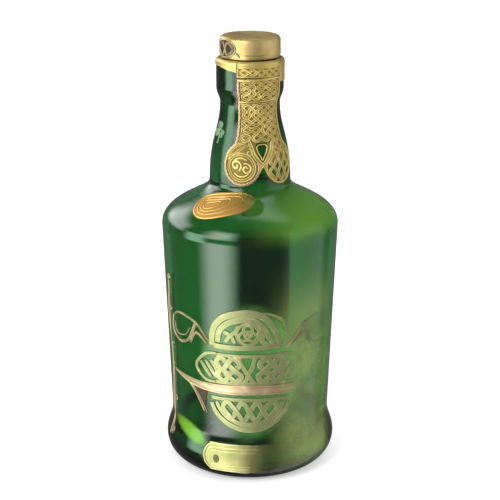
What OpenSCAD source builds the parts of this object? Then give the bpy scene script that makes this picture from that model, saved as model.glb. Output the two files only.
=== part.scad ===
// Gilded glass bottle with a bell-shaped base, bonded metal filigree and a bar-top stopper.
// The foot stands on z = 0, the bottle's axis is Z, and the emblem faces -Y.

/* [Glass body] */
// Outer radius of the flat foot ring
foot_r = 33; // [28:0.5:38]
// Inner radius of the foot ring, where the hollow underside starts
punt_r = 25; // [15:0.5:27]
// Height of the hollow underside at its middle
punt_h = 7; // [3:0.5:12]
// Widest radius of the bell-shaped base
bell_r = 45.3; // [42:0.1:56]
// Height of the bell's widest ring
bell_z = 12.5; // [9:0.5:16]
// Radius of the waist above the bell
waist_r = 42; // [39:0.5:51]
// Height of the waist
waist_z = 28; // [22:0.5:34]
// Radius at the shoulder, the widest place of the body
shoulder_r = 46; // [42:0.5:56]
// Height at which the shoulder starts to turn in
shoulder_z = 131; // [108:1:160]
// Thickness of the body's wall
wall = 3.6; // [2.5:0.1:4.5]
// Thickness of the glass under the contents
base_t = 6; // [4:0.5:9]

/* [Neck and mouth] */
// Rise of the shoulder, from the body to the root of the neck
shoulder_rise = 23; // [18:0.5:28]
// Radius of the neck at its root
neck_root_r = 21; // [18:0.5:24]
// Length of the neck, from its root to its narrowest place
neck_len = 40; // [33:0.5:48]
// Radius of the neck where it is narrowest
neck_r = 15.3; // [13:0.1:17]
// Height of the flare from the neck to the collar
flare_h = 8; // [6:0.5:10]
// Radius of the collar
collar_r = 17.2; // [15.5:0.1:20.7]
// Height of the collar, without its rounded lip
collar_h = 13; // [11:0.5:16]
// Radius of the lip's rounding
lip_r = 1.6; // [0.8:0.1:2.4]
// Radius of the bore that takes the cork
bore_r = 9.3; // [7.7:0.1:11.2]
// Length of the straight bore
bore_len = 27; // [24:0.5:34]

/* [Stopper] */
// Length of cork below the stopper's head
cork_len = 23; // [16:0.5:23.5]
// Play between the cork and the bore, all round
cork_play = 0.05; // [0.02:0.01:0.09]
// Radius of the stopper's core
core_r = 14.9; // [12:0.1:16]
// Height of the stopper's core
core_h = 10.8; // [8:0.1:14]
// Depth to which the cork is glued into the core
socket_h = 4; // [2:0.5:6]
// Thickness of the gilt cap
cap_t = 0.7; // [0.5:0.1:1]
// Rounding of the cap's top edge
cap_round = 2.6; // [1.5:0.1:4]
// Gap between the foil on the lip and the lower edge of the cap
cap_gap = 0.4; // [0.3:0.1:1]

/* [Gilding] */
// Height of the relief above the surface that carries it
relief_h = 0.7; // [0.4:0.1:0.7]
// Depth to which the relief is let into that surface
relief_bite = 0.15; // [0.12:0.01:0.2]
// Width of a fine wire
wire_w = 0.9; // [0.7:0.1:1.1]
// Width of a border
border_w = 1.5; // [1.2:0.1:1.8]
// Width of the wires of the two seals
seal_wire_w = 1.3; // [1:0.1:1.6]
// Thickness of the foil on the collar
foil_t = 0.5; // [0.3:0.05:0.7]
// Depth of the foil below the lip, where it is deepest
foil_h = 9.5; // [8:0.5:11]
// Slope of the foil's lower edge, in degrees
foil_tilt = 13; // [0:0.5:13]
// Gap between neighbouring castings
cast_gap = 0.4; // [0.3:0.1:0.6]

/* [Neck strap] */
// Angle of the strap from the front, towards +X
strap_turn = 18.5; // [0:0.5:30]
// Half the width of the strap at the collar
strap_w = 11.4; // [9:0.1:12]
// Half the width of the strap where it is narrowest
strap_waist_w = 10.4; // [8.5:0.1:11]
// Radius of the two round lobes at the strap's foot
lobe_r = 8.9; // [7.4:0.1:9.5]
// Distance of each lobe's centre from the strap's middle
lobe_s = 11; // [10:0.1:12]
// Height of the lobes' centres above the root of the neck
lobe_up = 10.4; // [9:0.1:13]
// Height of the plain head of the strap
strap_head_h = 5.5; // [4:0.5:7]
// Height of the drop-shaped window
drop_h = 10; // [8:0.5:11]
// Half the width of the drop-shaped window
drop_w = 4.4; // [3.5:0.1:5]

/* [Emblem] */
// Height of the line that the dome stands on
dome_z = 75.5; // [72:0.5:80]
// Height of the dome
dome_h = 20.6; // [17:0.1:22]
// Half the width of the dome
dome_w = 21; // [18:0.5:23]
// Radius of the rosette in the dome
rosette_r = 6.6; // [5:0.1:7]
// Height of the middle of the belt
belt_z = 52; // [50:0.5:54]
// Height of the belt
belt_w = 5.6; // [4:0.1:6]
// Depth of the bowl below the middle of the belt
bowl_h = 21.5; // [17:0.5:22]
// Half the width of the bowl
bowl_w = 21.5; // [18:0.5:23]

/* [Seals and vines] */
// Height of the base seal's middle
base_seal_z = 14.6; // [13:0.1:15.5]
// Half the length of the base seal
base_seal_w = 25.5; // [20:0.5:28]
// Half the height of the base seal
base_seal_h = 7.2; // [6:0.1:7.5]
// Distance of the shoulder seal's middle from the axis
shoulder_seal_r = 28.5; // [27:0.5:30]
// Angle of the shoulder seal from the front, towards -X
shoulder_seal_turn = 26; // [10:1:40]
// Half the length of the shoulder seal
shoulder_seal_w = 16; // [12:0.5:17]
// Half the width of the shoulder seal
shoulder_seal_h = 6.4; // [4:0.1:7]
// Half the length of the belt, to its points
belt_half_len = 49; // [40:0.5:49]
// Reach of the side loops from the front
loop_reach = 49.5; // [44:0.5:49.5]
// Angle of the side vines from the front
vine_turn = 71; // [71:1:80]
// Angle of the clover sprig from the front, towards -X
clover_turn = 62; // [50:1:75]

/* [Hidden] */
$fn = 96;

gold = [0.80, 0.68, 0.33];
pale_gold = [0.78, 0.78, 0.52];
orange_gold = [0.87, 0.64, 0.30];
glass_green = [0.08, 0.36, 0.14, 0.55];
cork_tan = [0.72, 0.55, 0.36];

neck_z = shoulder_z + shoulder_rise;
neck_min_z = neck_z + neck_len;
collar_z = neck_min_z + flare_h;
lip_z = collar_z + collar_h;
mouth_z = lip_z + lip_r;
inner_waist_r = waist_r - wall;
heel_round = 9;
bead_sides = 4;
bead_twist = 33;

// ---- Curves ----

// Points of a cubic curve from a to d, whose handles are b and c
function curve(a, b, c, d, n, first = 0) =
    [for (i = [first:n])
        let (t = i / n, u = 1 - t)
        u * u * u * a + 3 * u * u * t * b + 3 * u * t * t * c + t * t * t * d];

// A curve between two places [z, r] of a profile that leaves and arrives parallel to the axis
function blend(a, b, leave, arrive, n) =
    curve(a, a + [leave, 0], b - [arrive, 0], b, n, 1);

// Points of an oval, or of a part of one, around [s, z]
function oval(s, z, w, h, n = 20, from = 0, to = 360, tilt = 0) =
    [for (i = [0:n])
        let (a = from + (to - from) * i / n, p = [w * cos(a), h * sin(a)])
        [s + p.x * cos(tilt) - p.y * sin(tilt), z + p.x * sin(tilt) + p.y * cos(tilt)]];

// Points of a spiral around [s, z] that starts at radius r and ends near its middle
function scroll(s, z, r, turns, n, from = 0, hand = 1) =
    [for (i = [0:n])
        let (k = i / n, a = from + hand * 360 * turns * k, q = r * (1 - 0.78 * k))
        [s + q * cos(a), z + q * sin(a)]];

function mirrored(path) = [for (p = path) [-p[0], p[1], is_undef(p[2]) ? 0 : p[2]]];

// ---- Profiles, as lists of [z, r] from the foot up ----

glass_side = concat(
    [for (a = [0:15:90]) [bell_z * (1 - cos(a)), foot_r + (bell_r - foot_r) * sin(a)]],
    blend([bell_z, bell_r], [waist_z, waist_r], 6, 6, 7),
    [[shoulder_z, shoulder_r]],
    blend([shoulder_z, shoulder_r], [neck_z, neck_root_r], 0.55 * shoulder_rise,
        0.306 * shoulder_rise, 12),
    blend([neck_z, neck_root_r], [neck_min_z, neck_r], 0.536 * neck_len, 0.324 * neck_len, 10),
    blend([neck_min_z, neck_r], [collar_z, collar_r], 0.4 * flare_h, 0.4 * flare_h, 5),
    [for (a = [0:22.5:90]) [lip_z + lip_r * sin(a), collar_r - lip_r * (1 - cos(a))]]);

cavity_side = concat(
    [for (a = [0:15:90])
        [base_t + heel_round * (1 - cos(a)), inner_waist_r - heel_round * (1 - sin(a))]],
    [[shoulder_z - 1, shoulder_r - wall]],
    blend([shoulder_z - 1, shoulder_r - wall], [neck_z - 2, neck_root_r - wall - 0.8],
        0.5 * shoulder_rise, 0.3 * shoulder_rise, 10),
    blend([neck_z - 2, neck_root_r - wall - 0.8], [mouth_z - bore_len, bore_r],
        0.4 * neck_len, 0.25 * neck_len, 8),
    [[mouth_z, bore_r]]);

punt_curve = [for (a = [0:15:90]) [punt_h * cos(a), punt_r * sin(a)]];
floor_curve = [for (a = [0:15:75])
    [base_t + punt_h * cos(a), (inner_waist_r - heel_round) * sin(a)]];

cap_r = core_r + cap_t;
cap_low_z = mouth_z + foil_t + cap_gap;
cap_top_z = mouth_z + core_h + cap_t;
cap_side = concat([[cap_low_z, cap_r - 0.4], [cap_low_z + 1.6, cap_r]],
    [for (a = [0:15:90])
        [cap_top_z - cap_round + cap_round * sin(a), cap_r - cap_round * (1 - cos(a))]]);

// Radius of a profile at height z, and its lean from upright
function skin_r(z, side) = lookup(z, side);
function lean(z, side) = atan(skin_r(z - 0.6, side) - skin_r(z + 0.6, side)) * 0.83;

// Height on the shoulder at which the glass has radius r
shoulder_by_r = [for (i = [len(glass_side) - 1:-1:0])
    if (glass_side[i].x > shoulder_z - 1 && glass_side[i].x < neck_z + 0.1)
        [glass_side[i].y, glass_side[i].x]];
function shoulder_at(x, y) =
    let (r = norm([x, y]))
    [atan2(x, -y) * PI / 180 * r, lookup(r, shoulder_by_r)];

// ---- Relief, laid on a profile along paths of [s, z] or [s, z, width] ----
// s is the distance round the surface from the front.

module bead(p, w, side) {
    r = skin_r(p[1], side);
    rotate([0, 0, p[0] / r * 180 / PI])
        translate([0, -r, p[1]])
            rotate([90 - lean(p[1], side), 0, 0])
                translate([0, 0, -relief_bite])
                    rotate(bead_twist)
                        cylinder(h = relief_h + relief_bite, d1 = w, d2 = 0.7 * w,
                            $fn = bead_sides);
}

function width_at(p, w) = is_undef(p[2]) || p[2] == 0 ? w : p[2];

module wire(path, w = wire_w, side = glass_side) {
    for (i = [0:len(path) - 2])
        hull() {
            bead(path[i], width_at(path[i], w), side);
            bead(path[i + 1], width_at(path[i + 1], w), side);
        }
}

// A flat leaf between two paths that have the same number of points
module leaf(edge_a, edge_b, w = wire_w) {
    for (i = [0:len(edge_a) - 2])
        hull() {
            bead(edge_a[i], w, glass_side);
            bead(edge_b[i], w, glass_side);
            bead(edge_a[i + 1], w, glass_side);
            bead(edge_b[i + 1], w, glass_side);
        }
}

// ---- Glass ----

function flip(side) = [for (p = side) [p.y, p.x]];
function reversed(list) = [for (i = [len(list) - 1:-1:0]) list[i]];

module glass_bottle() {
    color(glass_green)
        rotate_extrude()
            polygon(concat(flip(punt_curve), flip(glass_side), flip(reversed(cavity_side)),
                flip(reversed(floor_curve))));
}

// ---- Gilding of the neck ----

strap_top_z = lip_z - cast_gap;
head_low_z = strap_top_z - strap_head_h;
lobe_z = neck_z + lobe_up;
divider_z = collar_z - 5;
drop_top_z = lobe_z + 1.6 + drop_h;
scroll_r = lobe_r - border_w / 2 - 2 * cast_gap - wire_w / 2;
curl_r = 2.1;
curl_z = lobe_z + scroll_r + curl_r + 1;
knot_low_z = max(drop_top_z + 2, curl_z + curl_r + 1);
strap_half = concat(
    [[strap_w, head_low_z - cast_gap - border_w / 2], [strap_w, collar_z - 2]],
    curve([strap_w, collar_z - 2], [strap_waist_w, neck_min_z + 2], [strap_waist_w, neck_min_z],
        [strap_waist_w, neck_min_z - 4], 3, 1),
    curve([strap_waist_w, neck_min_z - 4], [strap_waist_w, neck_min_z - 17],
        [lobe_s + lobe_r, lobe_z + 11], [lobe_s + lobe_r, lobe_z], 8, 1),
    oval(lobe_s, lobe_z, lobe_r, lobe_r, 10, 0, -192));
strap_half_by_z = [for (i = [len(strap_half) - 10:-1:0]) [strap_half[i][1], strap_half[i][0]]];
function strap_half_w(z) = lookup(z, strap_half_by_z);
strap_angle = (strap_w + border_w / 2) / collar_r * 180 / PI;

module on_strap() {
    rotate([0, 0, strap_turn]) children();
}

// Strands of a plait that fills the strap between two heights
module strap_plait(low_z, high_z, strands, waves, n) {
    inset = border_w / 2 + cast_gap + wire_w / 2;
    for (k = [0:strands - 1])
        wire([for (i = [0:n])
            let (z = low_z + (high_z - low_z) * i / n)
            [(strap_half_w(z) - inset) * sin(360 * (waves * i / n + k / strands)), z]]);
}

// Foil over the lip and collar, notched where the strap lies, with a sloping lower edge
module collar_foil() {
    gap_angle = strap_angle + cast_gap / collar_r * 180 / PI;
    function lip_arc(r) =
        [for (a = [0:22.5:90]) [collar_r - lip_r + r * cos(a), lip_z + r * sin(a)]];
    color(gold)
        difference() {
            rotate_extrude()
                polygon(concat([[collar_r, lip_z - foil_h], [collar_r + foil_t, lip_z - foil_h]],
                    lip_arc(lip_r + foil_t), reversed(lip_arc(lip_r))));
            rotate([0, 0, strap_turn - gap_angle - 90])
                rotate_extrude(angle = 2 * gap_angle)
                    translate([collar_r - 1, lip_z - 2 * foil_h])
                        square([foil_t + 2, 2 * foil_h]);
            translate([collar_r + foil_t, 0, lip_z - foil_h])
                rotate([0, foil_tilt, 0])
                    translate([-80, -40, -50])
                        cube([80, 80, 50]);
        }
}

module strap_head() {
    color(gold)
        on_strap()
            rotate([0, 0, -strap_angle - 90])
                rotate_extrude(angle = 2 * strap_angle)
                    translate([collar_r - relief_bite, head_low_z])
                        square([relief_bite + relief_h, strap_head_h]);
}

module strap_frame() {
    half_w = strap_half_w(divider_z) - border_w;
    color(gold)
        on_strap() {
            wire(strap_half, border_w);
            wire(mirrored(strap_half), border_w);
            wire([for (i = [-3:3]) [(strap_w - 0.3) * i / 3, strap_half[0][1]]], border_w);
            wire([for (i = [-3:3]) [(half_w + border_w) * i / 3, divider_z]], wire_w);
        }
}

module strap_knot_upper() {
    color(gold)
        on_strap()
            strap_plait(divider_z + 1.6, head_low_z - 3.2, 4, 1, 9);
}

module strap_knot_lower() {
    color(gold)
        on_strap()
            strap_plait(knot_low_z, divider_z - 1.6, 4, 1, 11);
}

module strap_drop() {
    point_z = lobe_z + 3.2;
    color(gold)
        on_strap() {
            wire(concat([[0, point_z]],
                curve([0, point_z], [0.4 * drop_w, point_z + 2], [drop_w, point_z + 4],
                    [drop_w, drop_top_z - 2.4], 5, 1),
                curve([drop_w, drop_top_z - 2.4], [drop_w, drop_top_z - 0.4],
                    [-drop_w, drop_top_z - 0.4], [-drop_w, drop_top_z - 2.4], 5, 1),
                curve([-drop_w, drop_top_z - 2.4], [-drop_w, point_z + 4],
                    [-0.4 * drop_w, point_z + 2], [0, point_z], 5, 1)), 1.2);
        }
}

// Spiral in one lobe of the strap, with a curl above it
module lobe_scroll(hand) {
    curl_s = hand * (lobe_s + 0.6);
    color(gold)
        on_strap() {
            wire(scroll(hand * lobe_s, lobe_z, scroll_r, 1.9, 26, 90, hand));
            wire(oval(curl_s, curl_z, curl_r, curl_r, 9, -90, 270));
            wire([[curl_s, curl_z - curl_r], [hand * lobe_s, lobe_z + scroll_r]]);
        }
}

module strap_scroll_left() {
    lobe_scroll(-1);
}

module strap_scroll_right() {
    lobe_scroll(1);
}

// ---- Seals and small ornaments ----

module shoulder_seal() {
    centre = shoulder_seal_r * [-sin(shoulder_seal_turn), -cos(shoulder_seal_turn)];
    tilt = -6;
    ring_step = 2.2;
    color(orange_gold) {
        for (k = [0:2]) {
            ring = oval(centre.x, centre.y, shoulder_seal_w - ring_step * k,
                shoulder_seal_h - 2 * k, 26 - 3 * k, 0, 360, tilt);
            wire([for (p = ring) shoulder_at(p[0], p[1])], seal_wire_w);
        }
        for (hand = [-1, 1])
            wire([for (k = [2:-1:0])
                let (d = hand * (shoulder_seal_w - ring_step * k))
                shoulder_at(centre.x + d * cos(tilt), centre.y + d * sin(tilt))], seal_wire_w);
    }
}

module base_seal() {
    end_s = base_seal_w - base_seal_h;
    ring_step = 2.3;
    rail = [for (i = [-3:3]) end_s * i / 4];
    color(gold) {
        for (k = [0:2]) {
            h = base_seal_h - ring_step * k;
            left_end = oval(-end_s, base_seal_z, h, h, 8 - 2 * k, 90, 270);
            right_end = oval(end_s, base_seal_z, h, h, 8 - 2 * k, -90, 90);
            wire(concat(left_end, [for (s = rail) [s, base_seal_z - h]], right_end,
                [for (s = reversed(rail)) [s, base_seal_z + h]], [left_end[0]]), seal_wire_w);
        }
        for (hand = [-1, 1])
            wire([for (k = [2, 0])
                [hand * (end_s + base_seal_h - ring_step * k), base_seal_z]], seal_wire_w);
    }
}

module clover_sprig() {
    leaf_w = 3;
    mid_z = neck_z + 27;
    color([0.55, 0.72, 0.55])
        rotate([0, 0, -clover_turn]) {
            for (a = [90, 210, 330]) {
                tip = [0.6 * cos(a), mid_z + 0.6 * sin(a)];
                for (k = [-1, 1])
                    wire([[tip.x, tip.y, 1], [tip.x + 3 * cos(a + 26 * k),
                        tip.y + 3 * sin(a + 26 * k), leaf_w]]);
            }
            wire([[0, mid_z, 0.8], [0.8, mid_z - 3.5, 0.8], [0.4, mid_z - 6.5, 0.8]]);
        }
}

// Vine that climbs one side of the body, as two crossing tendrils with a curl at each end
module side_vine(hand) {
    low_z = 16;
    high_z = dome_z + 28;
    color(gold)
        rotate([0, 0, hand * vine_turn]) {
            for (k = [-1, 1])
                wire([for (i = [0:22])
                    [1.7 * k * cos(810 * i / 22), low_z + (high_z - low_z) * i / 22]]);
            wire(oval(-hand * 1.6, high_z + 1.6, 2.3, 2.3, 9, 0, 270));
        }
}

module vine_left() {
    side_vine(-1);
}

module vine_right() {
    side_vine(1);
}

// ---- Emblem ----

rosette_z = dome_z + rosette_r + 2;

module emblem_dome() {
    inner_w = dome_w - 4.2;
    low_z = dome_z + 0.4;
    color(pale_gold) {
        wire(oval(0, dome_z, dome_w, dome_h, 20, 0, 180), border_w);
        wire(oval(0, dome_z, inner_w, dome_h - 3.6, 16, 0, 180));
        wire([for (i = [-4:4]) [dome_w * i / 4, low_z]], border_w);
        for (k = [-1, 1]) {
            wire(curve([k * (rosette_r + 1.2), low_z], [k * 8, dome_z + 8],
                [k * 8, dome_z + 13], [k * 2, dome_z + dome_h - 3.6], 6));
            wire(curve([k * inner_w, low_z], [k * 12, dome_z + 4], [k * 9, dome_z + 7],
                [k * (rosette_r + 1), rosette_z], 4));
        }
    }
}

module emblem_rosette() {
    petal_h = (rosette_r - cast_gap - wire_w) / 2;
    color(pale_gold) {
        wire(oval(0, rosette_z, rosette_r - wire_w / 2, rosette_r - wire_w / 2, 17));
        for (a = [90, 210, 330])
            wire(oval(petal_h * cos(a), rosette_z + petal_h * sin(a), petal_h, 0.6 * petal_h, 9,
                0, 360, a));
    }
}

module emblem_lattice() {
    high_z = dome_z - 3.2;
    low_z = belt_z + belt_w / 2 + cast_gap + wire_w;
    h = high_z - low_z;
    side_w = 30;
    color(pale_gold) {
        for (k = [-1, 1]) {
            for (i = [0:2])
                wire(curve([k * (7 + 3.4 * i), high_z], [k * (8 + 2 * i), high_z - 0.4 * h],
                    [k * (11 - i), low_z + 0.4 * h], [k * (4 + 4.5 * i), low_z], 3));
            wire(curve([k * 17.2, high_z], [k * (side_w + 6), high_z - 1],
                [k * (side_w + 4), low_z + 2], [k * 17.5, low_z], 9), 1.2);
            wire(oval(k * 22, (high_z + low_z) / 2, 4.4, 3.6, 9));
        }
        wire([[-5.5, high_z], [-0.5, low_z + 6.5], [5.5, high_z], [-5.5, high_z]], 1.2);
        wire([[-0.5, low_z + 6.5], [0, low_z]], 1.2);
        wire([for (i = [-2:2]) [17.5 * i / 2, low_z]]);
        wire([for (i = [-2:2]) [17.2 * i / 2, high_z]]);
    }
}

// Belt with two pointed ends that sweep up, drawn as its two edges
module emblem_belt() {
    w = belt_w - wire_w;
    function edge(k) = [for (i = [-8:8])
        let (q = abs(i) / 8, s = belt_half_len * i / 8, taper = 1 - pow(q, 3))
        [s, belt_z + 3.4 * pow(q, 2.2) + k * w / 2 * taper]];
    color(gold)
        leaf(edge(-1), edge(1));
}

module emblem_bowl() {
    top_z = belt_z - belt_w / 2 - cast_gap - border_w / 2;
    h = bowl_h - belt_w / 2 - cast_gap;
    color(pale_gold) {
        wire(oval(0, top_z, bowl_w, h, 16, 180, 360), border_w);
        wire(oval(0, top_z, bowl_w - 3, h - 3, 11, 180, 360));
        wire([for (i = [-3:3]) [bowl_w * i / 3, top_z]]);
        for (k = [-1, 1]) {
            wire(oval(k * 5.2, top_z - 5.4, 4.6, 5, 9));
            wire(oval(k * 12, top_z - 4.6, 3.6, 4.2, 8, 0, 360, 20 * k));
        }
        wire([[0, top_z], [0, top_z - h]]);
    }
}

// Teardrop loop that reaches out from the dome's foot
module side_loop(hand) {
    root = [hand * 24, dome_z + 2];
    far = [hand * loop_reach, dome_z + 2];
    color(gold) {
        wire(concat(
            curve(root, root + [hand * 6, 9], far + [-hand * 12, 15], far + [0, 7], 7),
            curve(far + [0, 7], far + [0, -4], far + [-hand * 8, -8],
                root + [hand * 13, 2], 6, 1),
            curve(root + [hand * 13, 2], root + [hand * 8, 8], root + [hand * 7, 10],
                root + [hand * 6, 12], 3, 1)), 1.1);
        wire(curve(far + [-hand * 2, 5], far + [-hand * 3, -3], far + [-hand * 8, -4.6],
            root + [hand * 14, 4.4], 5));
    }
}

module loop_left() {
    side_loop(-1);
}

module loop_right() {
    side_loop(1);
}

// ---- Stopper ----

module cork_shank() {
    color(cork_tan)
        translate([0, 0, mouth_z - cork_len])
            cylinder(h = cork_len + socket_h, r = bore_r - cork_play);
}

module stopper_core() {
    color([0.55, 0.42, 0.22])
        difference() {
            translate([0, 0, mouth_z])
                cylinder(h = core_h - cap_round, r = core_r);
            translate([0, 0, mouth_z - 1])
                cylinder(h = socket_h + 1, r = bore_r - cork_play);
        }
}

// Cap: a thin shell over the core, with a rounded top edge
module gilt_cap() {
    color(gold)
        difference() {
            rotate_extrude()
                polygon(concat([[0, cap_low_z]], flip(cap_side), [[0, cap_top_z]]));
            translate([0, 0, mouth_z])
                cylinder(h = core_h - cap_round, r = core_r);
        }
}

// Oval knot on the cap's left side
module cap_medallion() {
    z = (cap_low_z + cap_top_z - cap_round) / 2 + 0.6;
    h = (cap_top_z - cap_low_z) / 2 - 2;
    color(gold)
        rotate([0, 0, -52]) {
            wire(oval(0, z, 6.2, h, 14), 0.9, cap_side);
            wire(oval(0, z, 4.4, h - 1.6, 9, 0, 360, 35), 0.7, cap_side);
            wire(oval(0, z, 4.4, h - 1.6, 9, 0, 360, -35), 0.7, cap_side);
        }
}

glass_bottle();
collar_foil();
strap_head();
strap_frame();
strap_knot_upper();
strap_knot_lower();
strap_drop();
strap_scroll_left();
strap_scroll_right();
shoulder_seal();
emblem_dome();
emblem_rosette();
emblem_lattice();
emblem_belt();
emblem_bowl();
loop_left();
loop_right();
vine_left();
vine_right();
base_seal();
clover_sprig();
cork_shank();
stopper_core();
gilt_cap();
cap_medallion();
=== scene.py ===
from math import atan2, cos, degrees, pi, radians, sin

import bpy
import numpy as np
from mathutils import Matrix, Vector


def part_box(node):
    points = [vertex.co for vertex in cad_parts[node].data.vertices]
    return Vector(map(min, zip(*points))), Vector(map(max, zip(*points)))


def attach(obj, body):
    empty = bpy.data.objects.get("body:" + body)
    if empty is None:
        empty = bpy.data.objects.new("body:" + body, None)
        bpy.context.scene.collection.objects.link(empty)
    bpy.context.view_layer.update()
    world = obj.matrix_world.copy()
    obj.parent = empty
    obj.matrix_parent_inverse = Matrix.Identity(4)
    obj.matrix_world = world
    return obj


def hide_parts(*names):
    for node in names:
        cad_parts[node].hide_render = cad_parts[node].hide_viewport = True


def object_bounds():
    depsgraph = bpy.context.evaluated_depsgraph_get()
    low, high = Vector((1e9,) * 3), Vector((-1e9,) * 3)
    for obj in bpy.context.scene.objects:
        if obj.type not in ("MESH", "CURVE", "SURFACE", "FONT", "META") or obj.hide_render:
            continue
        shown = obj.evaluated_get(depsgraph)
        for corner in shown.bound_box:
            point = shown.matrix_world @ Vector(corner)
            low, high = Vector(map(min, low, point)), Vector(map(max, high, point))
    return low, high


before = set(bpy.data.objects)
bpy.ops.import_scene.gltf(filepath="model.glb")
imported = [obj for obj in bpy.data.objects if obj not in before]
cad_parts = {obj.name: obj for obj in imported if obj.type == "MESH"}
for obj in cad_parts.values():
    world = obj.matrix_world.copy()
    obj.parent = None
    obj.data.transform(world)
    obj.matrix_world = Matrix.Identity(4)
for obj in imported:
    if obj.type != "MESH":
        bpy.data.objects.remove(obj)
cad_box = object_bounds()

MM = 0.001


# ---- Shader maths ----

class Value:
    """One value in a finish. Arithmetic on it adds Math nodes."""

    def __init__(self, finish, socket):
        self.finish, self.socket = finish, socket

    def math(self, operation, *values):
        return self.finish.node("ShaderNodeMath", {"operation": operation}, dict(enumerate(values)))

    def __add__(self, other):
        return self.math("ADD", self, other)

    def __sub__(self, other):
        return self.math("SUBTRACT", self, other)

    def __rsub__(self, other):
        return self.math("SUBTRACT", other, self)

    def __mul__(self, other):
        return self.math("MULTIPLY", self, other)

    def __truediv__(self, other):
        return self.math("DIVIDE", self, other)

    def __pow__(self, other):
        return self.math("POWER", self, other)

    __radd__, __rmul__ = __add__, __mul__

    def clamped(self):
        return self.math("MINIMUM", self.math("MAXIMUM", self, 0.0), 1.0)

    def ramp(self, low, high):
        """0 below low, 1 above high, and smooth between them."""
        return self.finish.node("ShaderNodeMapRange", {"interpolation_type": "SMOOTHSTEP"},
                                {0: self, 1: low, 2: high, 3: 0.0, 4: 1.0})


class Finish:
    """A material under construction around one Principled shader."""

    def __init__(self, name):
        self.material = bpy.data.materials.new(name)
        self.material.use_nodes = True
        self.tree = self.material.node_tree
        self.tree.nodes.clear()
        self.shader = self.tree.nodes.new("ShaderNodeBsdfPrincipled")
        self.output = self.tree.nodes.new("ShaderNodeOutputMaterial")
        self.tree.links.new(self.shader.outputs[0], self.output.inputs["Surface"])

    def node(self, kind, settings=None, inputs=None, out=0):
        """Adds one node, sets it up, feeds its sockets and returns one of its outputs."""
        node = self.tree.nodes.new(kind)
        for key, value in (settings or {}).items():
            setattr(node, key, value)
        self.feed(node, inputs or {})
        return Value(self, node.outputs[out])

    def feed(self, node, inputs):
        for key, value in inputs.items():
            socket = node.inputs[key]
            if isinstance(value, Value):
                self.tree.links.new(value.socket, socket)
            elif isinstance(value, tuple) and socket.type == "RGBA":
                socket.default_value = (*value, 1.0)
            else:
                socket.default_value = value

    def shade(self, **sockets):
        """Feeds the Principled shader; base_color stands for Base Color."""
        self.feed(self.shader, {key.replace("_", " ").title().replace("Ior", "IOR"): value
                                for key, value in sockets.items()})
        return self

    def over(self, factor, colour, roughness=0.4):
        """Lays a thin film of another colour over the surface, as thick as factor says."""
        film = self.tree.nodes.new("ShaderNodeBsdfPrincipled")
        self.feed(film, {"Base Color": colour, "Roughness": roughness})
        mix = self.tree.nodes.new("ShaderNodeMixShader")
        surface = self.output.inputs["Surface"]
        self.tree.links.new(surface.links[0].from_socket, mix.inputs[1])
        self.tree.links.new(film.outputs[0], mix.inputs[2])
        self.feed(mix, {0: factor})
        self.tree.links.new(mix.outputs[0], surface)
        return self

    def absorb(self, colour, density):
        """Makes the inside darken what passes through it."""
        body = self.tree.nodes.new("ShaderNodeVolumeAbsorption")
        self.feed(body, {"Color": colour, "Density": density})
        self.tree.links.new(body.outputs[0], self.output.inputs["Volume"])

    def place(self, axis=None):
        """The object-space position, or one coordinate of it in millimetres."""
        position = self.node("ShaderNodeTexCoord", out=3)
        if axis is None:
            return position
        parts = self.node("ShaderNodeSeparateXYZ", inputs={0: position}, out="XYZ".index(axis))
        return parts / MM

    def noise(self, scale, detail=3.0, roughness=0.5, stretch=None):
        """Noise from 0 to 1; scale is in waves per metre."""
        position = self.place()
        if stretch:
            position = self.node("ShaderNodeMapping", inputs={0: position, 3: stretch})
        return self.node("ShaderNodeTexNoise", inputs={
            "Vector": position, "Scale": scale, "Detail": detail, "Roughness": roughness})

    def crest(self):
        """How high a point of the relief lies, from 0 in the hollows to 1 on the crests."""
        return self.node("ShaderNodeAttribute", {"attribute_name": "crest"}, out=2)

    def copper(self):
        """1 on strands of reddish wire, 0 on gold ones."""
        return self.node("ShaderNodeAttribute", {"attribute_name": "copper"}, out=2)

    def blend(self, factor, first, second):
        return self.node("ShaderNodeMix", {"data_type": "RGBA"}, {0: factor, 6: first, 7: second},
                         out=2)

    def bump(self, height, strength, distance=0.0004):
        return self.node("ShaderNodeBump", inputs={
            "Height": height, "Strength": strength, "Distance": distance})


# ---- Finishes ----

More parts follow.
